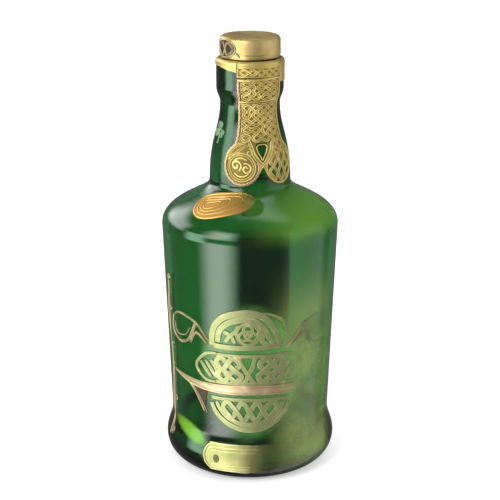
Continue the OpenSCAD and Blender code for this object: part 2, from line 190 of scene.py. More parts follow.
def green_glass():
    """Green glass, dark where it is thick, with films on its outside: a lighter green one behind the emblem,
    an olive painted reflection haze on the right, a painted yellow-green light on the right of the shoulder
    and a painted caustic of bright yellow-green low on the left.
    """
    f = Finish("green_glass")
    streaks = f.noise(18, 2, stretch=(1, 1, 0.25))
    ripple = f.noise(26, 2) + 0.25 * f.noise(90, 2)
    colour = f.blend(streaks, (0.15, 0.43, 0.19), (0.22, 0.51, 0.25))
    smear = f.noise(60, 4).ramp(0.45, 0.8)
    f.shade(base_color=colour, roughness=0.012 + 0.05 * smear, transmission_weight=1.0,
            ior=1.5, normal=f.bump(ripple, 0.05))
    f.absorb((0.05, 0.455, 0.19), 240.0)
    x, y, z = (f.place(axis) for axis in "XYZ")
    front = (1 - y.ramp(-14, -3)) * f.crest()
    wisps = f.noise(34, 5, 0.6)
    ragged = 40 * (wisps - 0.5)
    # Painted reflection: an olive haze over the right of the front, standing in for the pale reflection
    # there.
    side = (x + 0.3 * ragged).ramp(6, 30) * (1 - x.ramp(38, 44))
    painted_haze = side * z.ramp(2, 16) * (1 - (z + ragged).ramp(84, 124)) * front
    film_z, film_half, film_rise = 62, 25, 37
    emblem = (x / film_half) ** 2 + ((z - film_z) / film_rise) ** 2 + 0.02 * ragged
    # Painted light: a yellow-green film on the right of the shoulder's front, standing in for light shining
    # through the glass there.
    shoulder = (z + 0.2 * ragged).ramp(128, 138) * (1 - z.ramp(146, 158)) * (x - 0.2 * z).ramp(-36, 8)
    shoulder = shoulder * f.crest() * (1 - y.ramp(-8, 22))
    f.over(emblem.ramp(1.2, 0.7) * front * 0.4, (0.13, 0.34, 0.08))
    f.over(shoulder * 0.42, (0.15, 0.36, 0.02))
    f.over(painted_haze * (0.22 + 0.46 * wisps.ramp(0.3, 0.7)), (0.2, 0.28, 0.06))
    # Painted caustic: a bright yellow-green film low on the left of the front, standing in for light that
    # passes through the glass.
    caustic_x, caustic_z, caustic_half, caustic_rise = -31, 24, 8, 4.6
    along = x - caustic_x
    painted_caustic = (along / caustic_half) ** 2 + ((z - caustic_z + 0.35 * along) / caustic_rise) ** 2
    return f.over(painted_caustic.ramp(1.5, 0.1) * front * 0.7, (0.19, 0.5, 0.004)).material


def gilding(name, bright, hollow, gloss, fade=None, solid=1.0):
    """Gold relief, bright on its crests, darkened in its hollows by patina and painted shade, with painted
    highlights in patches on its crests; fade says between which x it wears off.
    """
    f = Finish(name)
    crest = f.crest()
    cloud = f.noise(160, 4)
    grit = f.noise(1500, 3)
    # The hollow colour is partly patina and partly painted shade.
    patina_and_shade = (crest * 1.15 + cloud * 0.5 - 0.32).clamped()
    colour = f.blend(patina_and_shade, hollow, bright)
    # Painted highlight: pale gold patches on the crests.
    colour = f.blend(cloud.ramp(0.56, 0.72) * crest * 0.4, colour, (0.95, 0.84, 0.5))
    colour = f.blend(f.copper() * 0.85, colour, f.blend(patina_and_shade, (0.12, 0.06, 0.04), (0.5, 0.33, 0.22)))
    metal = 0.75
    sockets = {
        "base_color": colour, "metallic": metal * (0.55 + 0.45 * crest),
        "roughness": gloss + 0.2 * (1 - crest) + 0.1 * cloud,
        "normal": f.bump(grit * 0.5 + cloud, 0.2, 0.0002)}
    if fade:
        worn = f.place("X") + 14 * (f.noise(70, 4) - 0.5)
        sockets["alpha"] = solid * (1 - 0.97 * worn.ramp(*fade))
    return f.shade(**sockets).material


def foil(name, low, high, metal, crease_shadow_z=None):
    """Wrinkled foil; given a height, it gets a short creased line in front there, painted dark as a painted
    shadow.
    """
    f = Finish(name)
    wrinkle = f.noise(240, 4, stretch=(1, 1, 0.35))
    fold = f.noise(75, 2, 0.4, stretch=(0.5, 0.5, 1.6)).ramp(0.35, 0.7)
    cloud = f.noise(90, 4)
    colour = f.blend(cloud.ramp(0.3, 0.7), low, high)
    if crease_shadow_z:
        x, y, z = (f.place(axis) for axis in "XYZ")
        line = z - crease_shadow_z - 0.9 * (f.noise(150, 2) - 0.5)
        crease_shadow = between(line, -0.12, 0.12, 0.14) * between(x, -2, 7, 2) * (1 - y.ramp(-9, -5))
        # Painted shadow: the creased line is darkened in colour.
        colour = f.blend(crease_shadow * 0.8, colour, (0.12, 0.07, 0.02))
        fold = fold - 1.5 * crease_shadow
    return f.shade(base_color=colour, metallic=metal, roughness=0.36 + 0.16 * cloud,
                   normal=f.bump(wrinkle * 0.6 + fold, 0.5, 0.0005)).material


def cork():
    f = Finish("cork")
    grain = f.noise(420, 5, 0.6)
    pits = f.node("ShaderNodeTexVoronoi", {"feature": "F1"}, {"Vector": f.place(), "Scale": 330.0})
    dark = (1 - pits.ramp(0.05, 0.22)) * f.noise(130, 2).ramp(0.42, 0.6)
    colour = f.blend(grain, (0.42, 0.24, 0.11), (0.66, 0.45, 0.25))
    colour = f.blend(dark, colour, (0.12, 0.06, 0.03))
    return f.shade(base_color=colour, roughness=0.72 + 0.2 * grain,
                   normal=f.bump(grain - dark, 0.5, 0.0004)).material


def turned_wood():
    f = Finish("turned_wood")
    warp = f.noise(60, 2)
    rings = f.node("ShaderNodeTexWave", {"wave_type": "RINGS", "rings_direction": "Y"}, {
        "Vector": f.place(), "Scale": 190.0, "Distortion": 3.0, "Detail": 2.0})
    colour = f.blend(rings * 0.6 + warp * 0.4, (0.2, 0.11, 0.05), (0.42, 0.26, 0.13))
    return f.shade(base_color=colour, roughness=0.38 + 0.2 * warp,
                   normal=f.bump(rings, 0.15, 0.0003)).material


def clover_enamel():
    f = Finish("clover_enamel")
    cloud = f.noise(260, 3)
    colour = f.blend(cloud, (0.16, 0.34, 0.16), (0.34, 0.52, 0.3))
    return f.shade(base_color=colour, roughness=0.22 + 0.15 * cloud, coat_weight=0.4,
                   alpha=0.45 + 0.5 * f.crest(), normal=f.bump(cloud, 0.15, 0.0002)).material


def pale_floor():
    f = Finish("pale_floor")
    speck = f.noise(6, 3)
    colour = f.blend(speck, (0.84, 0.84, 0.84), (0.86, 0.86, 0.86))
    return f.shade(base_color=colour, roughness=0.9, emission_color=(1.0, 1.0, 1.0),
                   emission_strength=0.35).material


class Surroundings(Finish):
    """The studio round the object, as a world shader."""

    def __init__(self, name):
        self.world = bpy.data.worlds.new(name)
        self.world.use_nodes = True
        self.tree = self.world.node_tree
        self.shader = self.tree.nodes["Background"]


def between(value, low, high, soft):
    """1 between low and high, with soft edges."""
    return value.ramp(low - soft, low + soft) * (1 - value.ramp(high - soft, high + soft))


def studio():
    """White all round; what glass and gold mirror is a dark room with soft panels of light."""
    f = Surroundings("studio")
    direction = f.node("ShaderNodeTexCoord", out=0)
    x, y, z = (f.node("ShaderNodeSeparateXYZ", inputs={0: direction}, out=i) for i in range(3))
    turn = f.node("ShaderNodeMath", {"operation": "ARCTAN2"}, {0: x, 1: 0 - y}) * degrees(1)
    rise = f.node("ShaderNodeMath", {"operation": "ARCSINE"}, {0: z}) * degrees(1)
    strip = between(turn, -62, -25, 15) * (1 - between(rise, -9, 9, 6)) * (1 - rise.ramp(44, 60))
    slim = between(turn, -88, -62, 9) * between(rise, -14, 20, 4)
    patch = between(turn, -150, -100, 8) * between(rise, 10, 38, 7)
    wide = between(turn, 50, 112, 10) * (1 - rise.ramp(20, 60))
    ceiling = between(rise, 62, 80, 9) * y.ramp(0.0, 0.3) * x.ramp(-0.3, 0.1)
    dark_room = 0.16
    mirrored_light = dark_room + 6 * strip + 6.5 * slim + 4.2 * patch + 0.8 * wide + 2 * ceiling
    seen, glossy, reflected = (f.node("ShaderNodeLightPath", out=i) for i in (0, 3, 5))
    mirror = glossy * reflected
    plain_light = 0.75
    unseen_light = mirror * mirrored_light + (1 - mirror) * plain_light
    f.feed(f.shader, {"Color": f.blend(mirror * slim, (1.0, 1.0, 1.0), (0.6, 1.0, 0.7)),
                      "Strength": seen + (1 - seen) * unseen_light})
    return f.world


# ---- Turned shapes, read from the frame ----

def cad_points(node):
    """The vertices of a CAD node, in mm."""
    return np.array([v.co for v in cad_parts[node].data.vertices]) / MM


def cad_corners(node):
    """The lower and the upper corner of a CAD node, in mm."""
    return [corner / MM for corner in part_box(node)]


def meridian(node):
    """The outline (r, z) of a turned CAD node in mm, in order, starting nearest the axis."""
    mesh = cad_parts[node].data
    corner = {}
    for vertex in mesh.vertices:
        x, y, z = vertex.co / MM
        if abs(y) < 1e-4 and x > -1e-4:
            corner[vertex.index] = (round(x, 3), round(z, 3))
    beside = {}
    for edge in mesh.edges:
        a, b = (corner.get(i) for i in edge.vertices)
        if a is not None and b is not None and a != b:
            beside.setdefault(a, set()).add(b)
            beside.setdefault(b, set()).add(a)
    here = min(beside, key=lambda p: (p[0], p[1]))
    chain = [here]
    while True:
        ahead = [p for p in beside[here] if p not in chain]
        if not ahead:
            break
        here = ahead[0]
        chain.append(here)
    ends = [[(0.0, z)] if r > 0 else [] for r, z in (chain[0], chain[-1])]
    return np.array([*ends[0], *chain, *ends[1]])


def turning(before, here, after):
    """The angle in degrees by which a line turns at a point."""
    a, b = here - before, after - here
    return abs(degrees(atan2(a[0] * b[1] - a[1] * b[0], a @ b)))


def true_corners(points, least=0.4):
    """Leaves out the points that lie on a straight stretch."""
    kept = [points[0]]
    for before, here, after in zip(points, points[1:], points[2:]):
        if turning(before, here, after) > least:
            kept.append(here)
    return np.array([*kept, points[-1]])


def propped(points, reach=1.2, longest=5.0):
    """Adds points near the ends of long stretches, so that a curve through them stays straight."""
    out = [points[0]]
    for a, b in zip(points, points[1:]):
        length = np.linalg.norm(b - a)
        if length > longest:
            n = max(2, int(length / longest))
            steps = [reach / length, *[i / n for i in range(1, n)], 1 - reach / length]
            out += [a + (b - a) * t for t in steps]
        out.append(b)
    return np.array(out)


def spline(points, per_span, closed=False):
    """Catmull-Rom curve through points of any dimension."""
    points = np.asarray(points, float)
    n = len(points)
    out = []
    for i in range(n if closed else n - 1):
        p = [points[(i + k) % n] if closed else points[min(max(i + k, 0), n - 1)]
             for k in (-1, 0, 1, 2)]
        for t in np.arange(per_span) / per_span:
            out.append(0.5 * (2 * p[1] + (p[2] - p[0]) * t
                              + (2 * p[0] - 5 * p[1] + 4 * p[2] - p[3]) * t ** 2
                              + (3 * p[1] - p[0] - 3 * p[2] + p[3]) * t ** 3))
    if not closed:
        out.append(points[-1])
    return np.array(out)


def softened(points, sharp=35.0, reach=0.35, per_span=4):
    """A smooth outline through points, in which each sharp corner gets a small rounding."""
    runs, run = [], [points[0]]
    for before, here, after in zip(points, points[1:], points[2:]):
        if turning(before, here, after) > sharp:
            near = here + (before - here) / np.linalg.norm(before - here) * reach
            far = here + (after - here) / np.linalg.norm(after - here) * reach
            runs.append([*run, near])
            runs.append([near, 0.25 * near + 0.5 * here + 0.25 * far, far])
            run = [far]
        else:
            run.append(here)
    runs.append([*run, points[-1]])
    smooth = np.vstack([*[spline(r, per_span)[:-1] for r in runs], points[-1:]])
    # The CAD's facets reach a little less far than its radius on some sides
    within_facets = 0.9994
    return np.clip(smooth, points.min(0), points.max(0)) * (within_facets, 1)


def turned_outline(node, **options):
    """The smooth outline of a turned CAD node."""
    return softened(propped(true_corners(meridian(node))), **options)


def lathe(name, outline, around=144, crest=None):
    """A turned mesh from an outline (r, z) in mm; its ends may lie on the axis."""
    angles = np.arange(around) * 2 * pi / around
    points, rows = [], []
    for r, z in outline:
        if r < 1e-3:
            rows.append([len(points)])
            points.append((0, 0, z * MM))
        else:
            rows.append(list(range(len(points), len(points) + around)))
            points += [(r * MM * sin(a), -r * MM * cos(a), z * MM) for a in angles]
    faces = []
    for low, high in zip(rows, rows[1:]):
        for i in range(around):
            j = (i + 1) % around
            ring = [low[i % len(low)], low[j % len(low)], high[j % len(high)], high[i % len(high)]]
            faces.append(list(dict.fromkeys(ring)))
    if crest is not None:
        crest = np.concatenate([np.full(len(row), value) for row, value in zip(rows, crest)])
    return mesh_piece(name, points, faces, crest)


def mesh_piece(name, points, faces, crest=None, copper=None):
    mesh = bpy.data.meshes.new(name)
    mesh.from_pydata([tuple(p) for p in points], [], faces)
    mesh.validate()
    for key, values in (("crest", crest), ("copper", copper)):
        if values is not None:
            attribute = mesh.attributes.new(key, "FLOAT", "POINT")
            attribute.data.foreach_set("value", np.asarray(values, np.float32))
    mesh.shade_smooth()
    piece = bpy.data.objects.new(name, mesh)
    bpy.context.scene.collection.objects.link(piece)
    return piece


glass_outline = turned_outline("glass_bottle")
mouth_z = glass_outline[:, 1].max()
foot_at = int(np.argmax(glass_outline[:, 1] <= 1e-6))
mouth_at = int(np.argmax(glass_outline[:, 1] >= mouth_z - 1e-6))


def climbing(outline):
    """An outline without the points that lie no higher than the ones before them."""
    rise = np.diff(np.maximum.accumulate(outline[:, 1]))
    return outline[np.concatenate([[True], rise > 1e-6])]


class Skin:
    """A turned surface that relief is laid on. Places are (s, z) in mm: s runs round it."""

    def __init__(self, outline):
        self.z, self.r = outline[:, 1], outline[:, 0]
        self.slope = np.gradient(self.r, self.z)

    def radius(self, z):
        return np.interp(z, self.z, self.r)

    def lay(self, s, z, lift, turn=0.0):
        """Points and outward directions at (s, z), raised by lift."""
        s, z, lift = np.broadcast_arrays(*(np.asarray(v, float) for v in (s, z, lift)))
        r = self.radius(z)
        angle = s / r + radians(turn)
        slope = np.interp(z, self.z, self.slope)
        size = np.sqrt(1 + slope ** 2)
        out = np.stack([np.sin(angle) / size, -np.cos(angle) / size, -slope / size], -1)
        point = np.stack([r * np.sin(angle), -r * np.cos(angle), z], -1)
        return point + out * lift[..., None], out


glass_skin = Skin(climbing(glass_outline[foot_at:mouth_at + 1]))


# ---- Relief ----

def section(*half):
    """A strand's cross-section as (across, up), from its left half and middle; up is 1 at the crest."""
    half = np.array(half)
    return np.vstack([half, half[-2::-1] * (-1, 1)])


ROUND = section((-0.5, -0.3), (-0.5, 0.1), (-0.43, 0.5), (-0.25, 0.86), (0, 1))
FLAT = section((-0.5, -0.3), (-0.5, 0.6), (-0.45, 0.92), (-0.36, 1), (-0.2, 0.9), (0, 0.86))
RIMMED = section((-0.5, -0.3), (-0.5, 0.5), (-0.43, 0.95), (-0.33, 1), (-0.24, 0.7), (-0.17, 0.36),
                 (0, 0.28))
CROWNED = section((-0.5, -0.3), (-0.5, 0.6), (-0.47, 0.95), (-0.43, 1), (-0.39, 0.85), (-0.36, 0.6),
                  (-0.2, 0.82), (0, 0.9))


class Strand:
    """A strip of relief along a path of (s, z) or (s, z, lift), in mm."""

    copper = 0.0

    def __init__(self, path, width, height=0.6, section=ROUND, closed=False, per_span=5,
                 pointed=False):
        path = spline(path, per_span, closed)
        steps = np.linspace(0, 1, len(path))
        self.path, self.closed = path, closed
        self.lift = path[:, 2] if path.shape[1] > 2 else np.zeros(len(path))
        self.width = np.interp(steps, np.linspace(0, 1, np.size(width)), np.atleast_1d(width))
        if pointed:
            self.width = self.width * np.clip(np.minimum(steps, 1 - steps) * 6 + 0.2, 0, 1)
        self.height, self.section = height, section

    def build(self, lay, turn):
        """Points, faces and crest values of the strip."""
        centre, out = lay(self.path[:, 0], self.path[:, 1], self.lift, turn)
        if self.closed:
            along = np.roll(centre, -1, 0) - np.roll(centre, 1, 0)
        else:
            along = np.gradient(centre, axis=0)
        side = np.cross(out, along)
        side /= np.linalg.norm(side, axis=1)[:, None] + 1e-12
        narrow = np.minimum(1.0, self.width / self.width.max() + 0.3)
        across, up = self.section.T
        points = (centre[:, None] + side[:, None] * (self.width[:, None] * across)[..., None]
                  + out[:, None] * (self.height * narrow[:, None] * up)[..., None])
        crest = np.clip(up[None] * 0.9 + self.lift[:, None] * 0.35, 0, 1)
        n, m = len(centre), len(up)
        ring = np.arange(m)
        faces = []
        for i in range(n if self.closed else n - 1):
            a, b = i * m, (i + 1) % n * m
            faces += [[a + k, a + (k + 1) % m, b + (k + 1) % m, b + k] for k in ring]
        if not self.closed:
            faces += [list(ring[::-1]), list((n - 1) * m + ring)]
        return points.reshape(-1, 3), faces, crest.ravel()


class Plate:
    """A thin sheet between two edges with the same number of (s, z) points."""

    copper = 0.0

    def __init__(self, left, right, top=0.14, bottom=-0.12, crest=0.1, columns=9):
        self.left, self.right = np.asarray(left, float), np.asarray(right, float)
        self.top, self.bottom, self.crest, self.columns = top, bottom, crest, columns

    def build(self, lay, turn):
        t = np.linspace(0, 1, self.columns)[None, :, None]
        spots = self.left[:, None] * (1 - t) + self.right[:, None] * t
        sheets = [lay(spots[..., 0], spots[..., 1], lift, turn)[0] for lift in (self.top, self.bottom)]
        points, faces = shell(*sheets)
        return points, faces, np.full(len(points), self.crest)


def shell(outer, inner):
    """Points and faces of a closed sheet between two grids of points."""
    n, m = outer.shape[:2]
    index = np.arange(n * m).reshape(n, m)
    faces = []
    for i in range(n - 1):
        for k in range(m - 1):
            quad = [index[i, k], index[i + 1, k], index[i + 1, k + 1], index[i, k + 1]]
            faces += [quad, [q + n * m for q in quad[::-1]]]
    rim = [*index[0, :-1], *index[:-1, -1], *index[-1, :0:-1], *index[:0:-1, 0]]
    faces += [[a, b, b + n * m, a + n * m] for a, b in zip(rim, rim[1:] + rim[:1])]
    return np.vstack([outer.reshape(-1, 3), inner.reshape(-1, 3)]), faces


def relief(name, parts, turn=0.0, lay=glass_skin.lay):
    """One casting made of strands and plates."""
    points, faces, crest, copper = [], [], [], []
    first = 0
    for part in parts:
        p, f, c = part.build(lay, turn)
        points.append(p)
        crest.append(c)
        copper.append(np.full(len(p), part.copper))
        faces += [[int(i) + first for i in face] for face in f]
        first += len(p)
    return mesh_piece(name, np.vstack(points) * MM, faces, np.concatenate(crest),
                      np.concatenate(copper))


def oval(s, z, w, h, n=16, start=0.0, end=360.0, tilt=0.0):
    """Points of an oval, or of a part of one; a whole one leaves out its last point."""
    whole = abs(end - start) >= 360
    angles = np.radians(np.linspace(start, end, n + 1)[:n if whole else n + 1])
    x, y = w * np.cos(angles), h * np.sin(angles)
    t = radians(tilt)
    return np.stack([s + x * cos(t) - y * sin(t), z + x * sin(t) + y * cos(t)], -1)


def disc(s, z, w, h, n=14, **options):
    """A plate that fills an oval."""
    rise = np.radians(np.linspace(-86, 86, n))
    left = np.stack([s - w * np.cos(rise), z + h * np.sin(rise)], -1)
    right = np.stack([s + w * np.cos(rise), z + h * np.sin(rise)], -1)
    return Plate(left, right, **options)


def mirrored(path):
    path = np.array(path, float)
    path[:, 0] *= -1
    return path


def spiral(s, z, r, turns, n, start, hand):
    """A curl that winds in to a fifth of its radius."""
    tail = 0.2
    k = np.linspace(0, 1, n + 1)
    angle = np.radians(start) + hand * 2 * pi * turns * k
    q = r * (1 - (1 - tail) * k)
    return np.stack([s + q * np.cos(angle), z + q * np.sin(angle)], -1)


def trefoil(s, z, r):
    """The closed path of a knot with three loops."""
    height = 0.35
    t = np.linspace(0, 2 * pi, 30, endpoint=False)
    x, y = np.sin(t) + 2 * np.sin(2 * t), np.cos(t) - 2 * np.cos(2 * t)
    return np.stack([s + x * r / 3, z - y * r / 3, height * 0.5 * (1 - np.sin(3 * t))], -1)


def plait(spot, columns, rows, width, height=0.55, rise=0.3, section=RIMMED, turned=None):
    """Plaited strands on a panel. In turned, "v" or "h" stands where two strands turn back."""
    turned = turned or {}
    strands, used = [], set()
    starts = [(x, y) for x in range(2 * columns) for y in range(2 * rows + 1) if (x + y) % 2]
    for x, y in starts:
        for dy in (1, -1):
            if 0 <= y + dy <= 2 * rows and frozenset({(x, y), (x + 1, y + dy)}) not in used:
                strands.append(follow(x, y, dy, columns, rows, turned, used, rise))
    return [Strand([(*spot(x / columns - 1, y / 2 / rows), lift) for x, y, lift in path], width,
                   height, section, closed=True, per_span=4) for path in strands]


def follow(x, y, dy, columns, rows, turned, used, rise):
    """Walks one strand of a plait round until it comes back, marking the stretches it takes."""
    path, dx = [], 1
    while frozenset({(x, y), (x + dx, y + dy)}) not in used:
        used.add(frozenset({(x, y), (x + dx, y + dy)}))
        x, y = x + dx, y + dy
        bend = turned.get((x, y))
        if x in (0, 2 * columns) or bend == "v":
            path.append((x - (0.3 * dx if bend else 0), y, rise / 2))
            dx = -dx
        elif y in (0, 2 * rows) or bend == "h":
            path.append((x, y - (0.3 * dy if bend else 0), rise / 2))
            dy = -dy
        else:
            path.append((x, y, rise if (dx * dy > 0) == (x % 2 == 1) else 0.0))
    return path


def upright(low, high, half):
    """A panel between two heights; half gives half its width at a height."""
    return lambda u, v: (u * half(low + v * (high - low)), low + v * (high - low))


def round_panel(s, z, w, h):
    """A panel that fills an oval."""
    def spot(u, v):
        v = 2 * v - 1
        return s + w * u * (1 - v * v / 2) ** 0.5, z + h * v * (1 - u * u / 2) ** 0.5
    return spot


class Place:
    """Where a casting lies: its angle from the front, half its width and its heights, in mm."""

    def __init__(self, node):
        points = cad_points(node)
        angle = np.arctan2(points[:, 0], -points[:, 1])
        middle = (angle.min() + angle.max()) / 2
        self.turn = degrees(middle)
        self.half = float(np.abs((angle - middle) * glass_skin.radius(points[:, 2])).max())
        self.low, self.high = float(points[:, 2].min()), float(points[:, 2].max())
        self.mid = (self.low + self.high) / 2


# ---- Turned pieces ----

def bottle():
    """The glass; its crest value is 1 on the outside, where films can lie."""
    outside = np.zeros(len(glass_outline))
    outside[foot_at:mouth_at + 1] = 1
    return lathe("bottle_glass", glass_outline, 160, outside)


def stopper_cap():
    """The cap, whose side is very slightly dented."""
    cap = lathe("stopper_cap", turned_outline("gilt_cap", reach=0.25), 120)
    outer = max(Vector(v.co.xy).length for v in cap.data.vertices)
    for vertex in cap.data.vertices:
        r = Vector(vertex.co.xy).length
        if r > outer - 0.4 * MM:
            turn = atan2(vertex.co.x, -vertex.co.y)
            dent = 0.06 * (2 + sin(5 * turn + 900 * vertex.co.z) + sin(9 * turn - 1.3))
            vertex.co.xy *= 1 - dent * MM / r
    return cap


def stopper_cork():
    low, high = cad_corners("cork_shank")
    r, edge = high.x, 0.8
    outline = [(0, low.z), (r - edge, low.z), (r - 0.2 * edge, low.z + 0.3 * edge),
               (r, low.z + edge), *[(r, z) for z in np.linspace(low.z + edge, high.z, 12)[1:]],
               (0, high.z)]
    return lathe("stopper_cork", outline, 96)


def stopper_core():
    return lathe("stopper_wood", turned_outline("stopper_core", reach=0.3), 96)


# ---- Foil on the collar ----

def collar_foil(strap_edge):
    """Foil over the lip, with a sloping, slightly rolled lower edge, notched at the strap."""
    low, high = cad_corners("collar_foil")
    r = high.x
    round_r, slope = 2.1, 0.235
    lip = high.z - round_r
    middle, half_gap = radians(strap_edge.turn), (strap_edge.half + 0.4) / r
    outer, inner = [], []
    for turn in np.linspace(middle + half_gap, middle + 2 * pi - half_gap, 150):
        edge = low.z + (r - r * sin(turn)) * slope
        edge += 0.12 * sin(11 * turn) + 0.08 * sin(23 * turn + 1)
        fold = [(r - 0.25, edge), (r - 0.05, edge + 0.1), (r, edge + 0.35), (r - 0.08, edge + 0.7)]
        side = [(r - 0.12 - 0.05 * sin(7 * turn + z), z) for z in np.linspace(edge + 1.1, lip, 6)]
        over = [(r - round_r + 2.06 * cos(a), lip + 2.06 * sin(a)) for a in np.radians(range(15, 91, 15))]
        rows = np.array([*fold, *side, *over])
        back = rows.copy()
        on_side = rows[:, 1] <= lip
        back[:, 0] = np.where(on_side, r - 0.42, r - round_r + (rows[:, 0] - r + round_r) * 0.8)
        back[:, 1] = np.where(on_side, rows[:, 1], lip + (rows[:, 1] - lip) * 0.8)
        for grid, line in ((outer, rows), (inner, back)):
            grid.append([(q * sin(turn), -q * cos(turn), z) for q, z in line])
    points, faces = shell(np.array(outer), np.array(inner))
    return mesh_piece("collar_foil_sheet", points * MM, faces)


# ---- Strap on the neck ----

class StrapShape(Place):
    """The strap's outline: its sides follow the neck and end in two round lobes."""

    def __init__(self):
        super().__init__("strap_frame")
        self.turn = Place("strap_head").turn
        self.lobe_r = 8.9
        self.lobe_s = self.half - self.lobe_r - 0.75
        self.lobe_z = self.low + self.lobe_r + 0.6
        self.top_half = Place("strap_head").half - 0.75
        self.divider_z = self.high - 11.5
        self.window_high = Place("strap_drop").high + 0.5
        self.window_half = Place("strap_drop").half - 2.1
        neck_z, lobe_z = self.high - 6, self.lobe_z
        slim, wide = self.top_half - 1.2, self.lobe_s + self.lobe_r
        self.side = np.array([
            (self.top_half, self.high), (self.top_half, neck_z), (slim + 0.5, neck_z - 5),
            (slim, neck_z - 10), (slim + 0.1, neck_z - 14), (slim + 0.9, neck_z - 20),
            (slim + 2.6, neck_z - 26), (wide - 2.6, lobe_z + 7.6), (wide - 0.6, lobe_z + 3.4)])

    def half_at(self, z):
        return float(np.interp(z, self.side[::-1, 1], self.side[::-1, 0]))

    def right_edge(self):
        lobe = oval(self.lobe_s, self.lobe_z, self.lobe_r, self.lobe_r, 12, 0, -196)
        return np.vstack([self.side, lobe])


def strap_head():
    """The head, which runs up over the lip, with a narrow plait in a sunk band."""
    head = Place("strap_head")
    lip = mouth_z - 0.05
    rows = np.concatenate([np.linspace(head.low, head.high, 7), lip - np.array([1.6, 1.1, 0.6, 0.2, 0])])
    edge = head.half / glass_skin.radius(head.mid)
    left = np.stack([-edge * glass_skin.radius(rows), rows], -1)
    across = np.linspace(-head.half + 0.3, head.half - 0.3, 13)
    lines = [Strand([(s, head.low + 0.5 + 0.15 * sin(0.9 * s)) for s in across], 0.6, 0.7),
             Strand([(s, head.high + 0.2 + 0.12 * sin(0.7 * s)) for s in across], 0.4, 0.62)]
    for hand in (-1, 1):
        side = [(hand * (head.half - 0.5), z) for z in rows[:8]]
        lines.append(Strand(side, 1.0, 0.7, per_span=3))
    sunk = np.linspace(head.low + 0.8, head.low + 4.6, 4)
    ground = np.stack([np.full(4, -head.half + 1.0), sunk], -1)
    lines.append(Plate(ground, mirrored(ground), 0.46, 0.2, crest=0.05, columns=13))
    band = upright(sunk[0] + 0.5, sunk[-1] - 0.5, lambda z: head.half - 1.7)
    for knot in plait(band, 5, 1, 1.3, 0.36, 0.2):
        knot.lift = knot.lift + 0.32
        lines.append(knot)
    plate = Plate(left, mirrored(left), 0.42, crest=0.7, columns=15)
    return relief("strap_head_plate", [plate, *lines], head.turn)


def rope(path, width, height):
    """Two strands of reddish wire twisted round each other along a path."""
    pitch, swing = 4.2, 0.36
    path = spline(path, 8)
    run = np.concatenate([[0], np.cumsum(np.linalg.norm(np.diff(path, axis=0), axis=1))])
    along = np.gradient(path, axis=0)
    across = np.stack([along[:, 1], -along[:, 0]], -1) / np.linalg.norm(along, axis=1)[:, None]
    strands = []
    for half_turn in (0, pi):
        twist = run * 2 * pi / pitch + half_turn
        spots = path + across * (swing * np.sin(twist))[:, None]
        strand = Strand(np.column_stack([spots, 0.1 + 0.1 * np.cos(twist)]), width, height, per_span=2)
        strand.copper = 1.0
        strands.append(strand)
    return strands


def strap_frame(strap):
    """The strap's gold ground, open in the drop-shaped window, with a gold border and a rope one."""
    right = strap.right_edge()
    parts = [Strand(right, 1.2, 0.66, ROUND, per_span=6), *rope(mirrored(right), 1.0, 0.45)]
    for hand in (-1, 1):
        inset = strap.side * (hand, 1) - (hand * 1.4, 0)
        parts.append(Strand(inset, 0.45, 0.5))
    across = np.linspace(-1, 1, 9)
    for z, width in ((strap.high - 0.5, 1.3), (strap.divider_z, 1.0), (strap.divider_z - 1, 0.5)):
        parts.append(Strand([(strap.half_at(z) * u, z + 0.3 * sin(2 * u)) for u in across], width, 0.6))
    rows = np.linspace(strap.window_high + 0.4, strap.high, 16)
    left = np.array([(-strap.half_at(z), z) for z in rows])
    parts.append(Plate(left, mirrored(left), crest=0.06))
    rows = np.linspace(strap.lobe_z + 1, strap.window_high + 0.5, 10)
    for hand in (-1, 1):
        outer = [(hand * strap.half_at(max(z, strap.lobe_z + 3.4)), z) for z in rows]
        inner = [(hand * (0.2 + strap.window_half * min(1, (z - rows[0]) / 6.5)), z) for z in rows]
        parts.append(Plate(outer, inner, crest=0.06))
    lobe_r = strap.lobe_r - 0.3
    parts.append(disc(-strap.lobe_s, strap.lobe_z, lobe_r, lobe_r, crest=0.06))
    for hand in (-1, 1):
        band = [(hand * 6.4, strap.window_high + 1.6), (hand * 5.4, strap.window_high - 1.6),
                (hand * 4.4, strap.lobe_z + 6.6), (hand * 2.1, strap.lobe_z + 3.2),
                (-hand * 0.9, strap.lobe_z + 0.2), (-hand * 2.4, strap.lobe_z - 3)]
        lift = (0, 0, 0, 0.1 + 0.1 * hand, 0.15, 0)
        parts.append(Strand([(*p, q) for p, q in zip(band, lift)], [1.6, 2.2, 1.2], 0.6, RIMMED))
    return relief("strap_border", parts, strap.turn)


def loosened(columns, rows, share, seed):
    """Places in a plait, picked by a fixed seed, where two strands turn back."""
    draw = np.random.default_rng(seed)
    places = [(x, y) for x in range(1, 2 * columns) for y in range(1, 2 * rows) if (x + y) % 2]
    picked = draw.random(len(places)) < share
    return {place: "v" if draw.random() < 0.6 else "h" for place, on in zip(places, picked) if on}


def strap_knot(strap, name, low, high, rows, share, seed):
    """A loosened plait that fills the strap between two heights."""
    spot = upright(low, high, lambda z: strap.half_at(z) - 1.9)
    knot = plait(spot, 4, rows, 1.55, 0.5, turned=loosened(4, rows, share, seed))
    return relief(name, knot, strap.turn)


def strap_upper_knot(strap):
    return strap_knot(strap, "strap_upper_knot", strap.divider_z + 1.1, strap.high - 1.3, 3, 0.5, 5)


def strap_lower_knot(strap):
    return strap_knot(strap, "strap_lower_knot", strap.window_high + 1.2, strap.divider_z - 1.6, 5, 0.45, 12)


